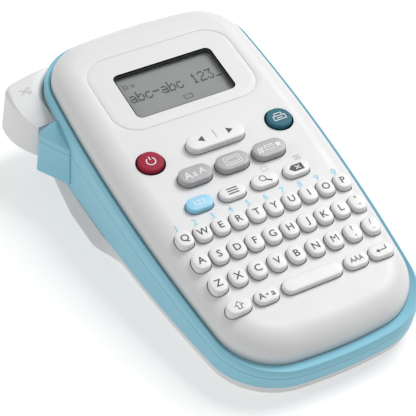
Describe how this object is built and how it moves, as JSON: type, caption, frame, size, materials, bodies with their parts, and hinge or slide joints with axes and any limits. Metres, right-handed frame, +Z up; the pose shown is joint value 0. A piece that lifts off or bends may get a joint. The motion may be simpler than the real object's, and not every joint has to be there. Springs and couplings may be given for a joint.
{
  "type": "label maker",
  "caption": "Hand-held label maker: wedge body with keyboard, display window, cursor and print keys, corner cutter lever, tape exit and removable base.",
  "frame": {"origin": "middle of the bounding box, on the table under the base", "axes": "+Z up out of the table, +Y from the user towards the display end, +X to the right of the user"},
  "size_m": [0.133, 0.2172, 0.0577],
  "materials": {
    "white_shell": "moulded ABS, fine satin texture",
    "blue_shell": "moulded ABS, satin, pale metallic blue",
    "white_key": "smooth satin keycap",
    "grey_key": "smooth satin keycap",
    "blue_key": "smooth satin keycap",
    "red_key": "smooth satin keycap",
    "teal_key": "smooth satin keycap",
    "clear_window": "clear polished acrylic",
    "lcd": "reflective liquid crystal, grey green",
    "silicone": "moulded silicone, matt",
    "circuit_laminate": "glass fibre laminate with solder mask",
    "steel": "stamped sheet",
    "black_plastic": "printed sleeve on dry cells",
    "grey_plastic": "moulded plastic",
    "black_rubber": "ground rubber sleeve"
  },
  "bodies": {
    "housing": {"top_cover": "white_shell", "upper_band": "blue_shell", "main_housing": "blue_shell", "back_cover": "white_shell", "display_window": "clear_window", "lcd_panel": "lcd", "keypad_sheet": "silicone", "circuit_board": "circuit_laminate", "tape_cassette": "grey_plastic", "print_head": "steel", "drive_motor": "steel", "batteries": "black_plastic"},
    "cutter_lever": {"cutter_lever": "white_shell"},
    "cutter_blade": {"cutter_blade": "steel"},
    "platen_roller": {"platen_roller": "black_rubber"},
    "drive_gear": {"drive_gear": "grey_plastic"},
    "key_power": {"key_power": "red_key"},
    "key_print": {"key_print": "teal_key"},
    "key_cursor": {"key_cursor": "white_key"},
    "key_font": {"key_font": "grey_key"},
    "key_frame": {"key_frame": "grey_key"},
    "key_symbol": {"key_symbol": "grey_key"},
    "key_num": {"key_num": "blue_key"},
    "key_menu": {"key_menu": "white_key"},
    "key_preview": {"key_preview": "white_key"},
    "key_delete": {"key_delete": "white_key"},
    "key_q": {"key_q": "white_key"},
    "key_w": {"key_w": "white_key"},
    "key_e": {"key_e": "white_key"},
    "key_r": {"key_r": "white_key"},
    "key_t": {"key_t": "white_key"},
    "key_y": {"key_y": "white_key"},
    "key_u": {"key_u": "white_key"},
    "key_i": {"key_i": "white_key"},
    "key_o": {"key_o": "white_key"},
    "key_p": {"key_p": "white_key"},
    "key_a": {"key_a": "white_key"},
    "key_s": {"key_s": "white_key"},
    "key_d": {"key_d": "white_key"},
    "key_f": {"key_f": "white_key"},
    "key_g": {"key_g": "white_key"},
    "key_h": {"key_h": "white_key"},
    "key_j": {"key_j": "white_key"},
    "key_k": {"key_k": "white_key"},
    "key_l": {"key_l": "white_key"},
    "key_dash": {"key_dash": "white_key"},
    "key_z": {"key_z": "white_key"},
    "key_x": {"key_x": "white_key"},
    "key_c": {"key_c": "white_key"},
    "key_v": {"key_v": "white_key"},
    "key_b": {"key_b": "white_key"},
    "key_n": {"key_n": "white_key"},
    "key_m": {"key_m": "white_key"},
    "key_comma": {"key_comma": "white_key"},
    "key_period": {"key_period": "white_key"},
    "key_shift": {"key_shift": "white_key"},
    "key_caps": {"key_caps": "white_key"},
    "key_space": {"key_space": "white_key"},
    "key_accent": {"key_accent": "white_key"},
    "key_enter": {"key_enter": "white_key"}
  },
  "joints": [
    {"name": "lever_swing", "type": "hinge", "parent": "housing", "child": "cutter_lever", "pos_m": [-0.04295, 0.09309, 0.03174], "axis": [0, -0.1676, 0.9859], "range_deg": [0, 7], "stiffness_Nm_per_rad": 0.6},
    {"name": "blade_slide", "type": "slide", "parent": "housing", "child": "cutter_blade", "axis": [0, -0.9859, -0.1676], "range_m": [0, 0.003]},
    {"name": "gear_spin", "type": "hinge", "parent": "housing", "child": "drive_gear", "pos_m": [-0.0259, 0.08239, 0.00964], "axis": [0, -0.1676, 0.9859], "continuous": true},
    {"name": "platen_spin", "type": "hinge", "parent": "housing", "child": "platen_roller", "pos_m": [-0.03445, 0.072, 0.01497], "axis": [0, -0.1676, 0.9859], "continuous": true},
    {"name": "cursor_rock", "type": "hinge", "parent": "housing", "child": "key_cursor", "pos_m": [0.00555, 0.0087, 0.04478], "axis": [0, 0.9859, 0.1676], "range_deg": [-3, 3], "stiffness_Nm_per_rad": 0.08},
    {"name": "press_power", "type": "slide", "parent": "housing", "child": "key_power", "axis": [0, 0.1676, -0.9859], "range_m": [0, 0.0012], "stiffness_N_per_m": 300},
    {"name": "press_print", "type": "slide", "parent": "housing", "child": "key_print", "axis": [0, 0.1676, -0.9859], "range_m": [0, 0.0012], "stiffness_N_per_m": 300},
    {"name": "press_font", "type": "slide", "parent": "housing", "child": "key_font", "axis": [0, 0.1676, -0.9859], "range_m": [0, 0.0012], "stiffness_N_per_m": 300},
    {"name": "press_frame", "type": "slide", "parent": "housing", "child": "key_frame", "axis": [0, 0.1676, -0.9859], "range_m": [0, 0.0012], "stiffness_N_per_m": 300},
    {"name": "press_symbol", "type": "slide", "parent": "housing", "child": "key_symbol", "axis": [0, 0.1676, -0.9859], "range_m": [0, 0.0012], "stiffness_N_per_m": 300},
    {"name": "press_num", "type": "slide", "parent": "housing", "child": "key_num", "axis": [0, 0.1676, -0.9859], "range_m": [0, 0.0012], "stiffness_N_per_m": 300},
    {"name": "press_menu", "type": "slide", "parent": "housing", "child": "key_menu", "axis": [0, 0.1676, -0.9859], "range_m": [0, 0.0012], "stiffness_N_per_m": 300},
    {"name": "press_preview", "type": "slide", "parent": "housing", "child": "key_preview", "axis": [0, 0.1676, -0.9859], "range_m": [0, 0.0012], "stiffness_N_per_m": 300},
    {"name": "press_delete", "type": "slide", "parent": "housing", "child": "key_delete", "axis": [0, 0.1676, -0.9859], "range_m": [0, 0.0012], "stiffness_N_per_m": 300},
    {"name": "press_q", "type": "slide", "parent": "housing", "child": "key_q", "axis": [0, 0.1676, -0.9859], "range_m": [0, 0.0012], "stiffness_N_per_m": 300},
    {"name": "press_w", "type": "slide", "parent": "housing", "child": "key_w", "axis": [0, 0.1676, -0.9859], "range_m": [0, 0.0012], "stiffness_N_per_m": 300},
    {"name": "press_e", "type": "slide", "parent": "housing", "child": "key_e", "axis": [0, 0.1676, -0.9859], "range_m": [0, 0.0012], "stiffness_N_per_m": 300},
    {"name": "press_r", "type": "slide", "parent": "housing", "child": "key_r", "axis": [0, 0.1676, -0.9859], "range_m": [0, 0.0012], "stiffness_N_per_m": 300},
    {"name": "press_t", "type": "slide", "parent": "housing", "child": "key_t", "axis": [0, 0.1676, -0.9859], "range_m": [0, 0.0012], "stiffness_N_per_m": 300},
    {"name": "press_y", "type": "slide", "parent": "housing", "child": "key_y", "axis": [0, 0.1676, -0.9859], "range_m": [0, 0.0012], "stiffness_N_per_m": 300},
    {"name": "press_u", "type": "slide", "parent": "housing", "child": "key_u", "axis": [0, 0.1676, -0.9859], "range_m": [0, 0.0012], "stiffness_N_per_m": 300},
    {"name": "press_i", "type": "slide", "parent": "housing", "child": "key_i", "axis": [0, 0.1676, -0.9859], "range_m": [0, 0.0012], "stiffness_N_per_m": 300},
    {"name": "press_o", "type": "slide", "parent": "housing", "child": "key_o", "axis": [0, 0.1676, -0.9859], "range_m": [0, 0.0012], "stiffness_N_per_m": 300},
    {"name": "press_p", "type": "slide", "parent": "housing", "child": "key_p", "axis": [0, 0.1676, -0.9859], "range_m": [0, 0.0012], "stiffness_N_per_m": 300},
    {"name": "press_a", "type": "slide", "parent": "housing", "child": "key_a", "axis": [0, 0.1676, -0.9859], "range_m": [0, 0.0012], "stiffness_N_per_m": 300},
    {"name": "press_s", "type": "slide", "parent": "housing", "child": "key_s", "axis": [0, 0.1676, -0.9859], "range_m": [0, 0.0012], "stiffness_N_per_m": 300},
    {"name": "press_d", "type": "slide", "parent": "housing", "child": "key_d", "axis": [0, 0.1676, -0.9859], "range_m": [0, 0.0012], "stiffness_N_per_m": 300},
    {"name": "press_f", "type": "slide", "parent": "housing", "child": "key_f", "axis": [0, 0.1676, -0.9859], "range_m": [0, 0.0012], "stiffness_N_per_m": 300},
    {"name": "press_g", "type": "slide", "parent": "housing", "child": "key_g", "axis": [0, 0.1676, -0.9859], "range_m": [0, 0.0012], "stiffness_N_per_m": 300},
    {"name": "press_h", "type": "slide", "parent": "housing", "child": "key_h", "axis": [0, 0.1676, -0.9859], "range_m": [0, 0.0012], "stiffness_N_per_m": 300},
    {"name": "press_j", "type": "slide", "parent": "housing", "child": "key_j", "axis": [0, 0.1676, -0.9859], "range_m": [0, 0.0012], "stiffness_N_per_m": 300},
    {"name": "press_k", "type": "slide", "parent": "housing", "child": "key_k", "axis": [0, 0.1676, -0.9859], "range_m": [0, 0.0012], "stiffness_N_per_m": 300},
    {"name": "press_l", "type": "slide", "parent": "housing", "child": "key_l", "axis": [0, 0.1676, -0.9859], "range_m": [0, 0.0012], "stiffness_N_per_m": 300},
    {"name": "press_dash", "type": "slide", "parent": "housing", "child": "key_dash", "axis": [0, 0.1676, -0.9859], "range_m": [0, 0.0012], "stiffness_N_per_m": 300},
    {"name": "press_z", "type": "slide", "parent": "housing", "child": "key_z", "axis": [0, 0.1676, -0.9859], "range_m": [0, 0.0012], "stiffness_N_per_m": 300},
    {"name": "press_x", "type": "slide", "parent": "housing", "child": "key_x", "axis": [0, 0.1676, -0.9859], "range_m": [0, 0.0012], "stiffness_N_per_m": 300},
    {"name": "press_c", "type": "slide", "parent": "housing", "child": "key_c", "axis": [0, 0.1676, -0.9859], "range_m": [0, 0.0012], "stiffness_N_per_m": 300},
    {"name": "press_v", "type": "slide", "parent": "housing", "child": "key_v", "axis": [0, 0.1676, -0.9859], "range_m": [0, 0.0012], "stiffness_N_per_m": 300},
    {"name": "press_b", "type": "slide", "parent": "housing", "child": "key_b", "axis": [0, 0.1676, -0.9859], "range_m": [0, 0.0012], "stiffness_N_per_m": 300},
    {"name": "press_n", "type": "slide", "parent": "housing", "child": "key_n", "axis": [0, 0.1676, -0.9859], "range_m": [0, 0.0012], "stiffness_N_per_m": 300},
    {"name": "press_m", "type": "slide", "parent": "housing", "child": "key_m", "axis": [0, 0.1676, -0.9859], "range_m": [0, 0.0012], "stiffness_N_per_m": 300},
    {"name": "press_comma", "type": "slide", "parent": "housing", "child": "key_comma", "axis": [0, 0.1676, -0.9859], "range_m": [0, 0.0012], "stiffness_N_per_m": 300},
    {"name": "press_period", "type": "slide", "parent": "housing", "child": "key_period", "axis": [0, 0.1676, -0.9859], "range_m": [0, 0.0012], "stiffness_N_per_m": 300},
    {"name": "press_shift", "type": "slide", "parent": "housing", "child": "key_shift", "axis": [0, 0.1676, -0.9859], "range_m": [0, 0.0012], "stiffness_N_per_m": 300},
    {"name": "press_caps", "type": "slide", "parent": "housing", "child": "key_caps", "axis": [0, 0.1676, -0.9859], "range_m": [0, 0.0012], "stiffness_N_per_m": 300},
    {"name": "press_space", "type": "slide", "parent": "housing", "child": "key_space", "axis": [0, 0.1676, -0.9859], "range_m": [0, 0.0012], "stiffness_N_per_m": 300},
    {"name": "press_accent", "type": "slide", "parent": "housing", "child": "key_accent", "axis": [0, 0.1676, -0.9859], "range_m": [0, 0.0012], "stiffness_N_per_m": 300},
    {"name": "press_enter", "type": "slide", "parent": "housing", "child": "key_enter", "axis": [0, 0.1676, -0.9859], "range_m": [0, 0.0012], "stiffness_N_per_m": 300}
  ],
  "couplings": [
    {"joint": "blade_slide", "follows": "lever_swing", "m_per_rad": 0.024555},
    {"joint": "platen_spin", "follows": "gear_spin", "ratio": -2}
  ]
}
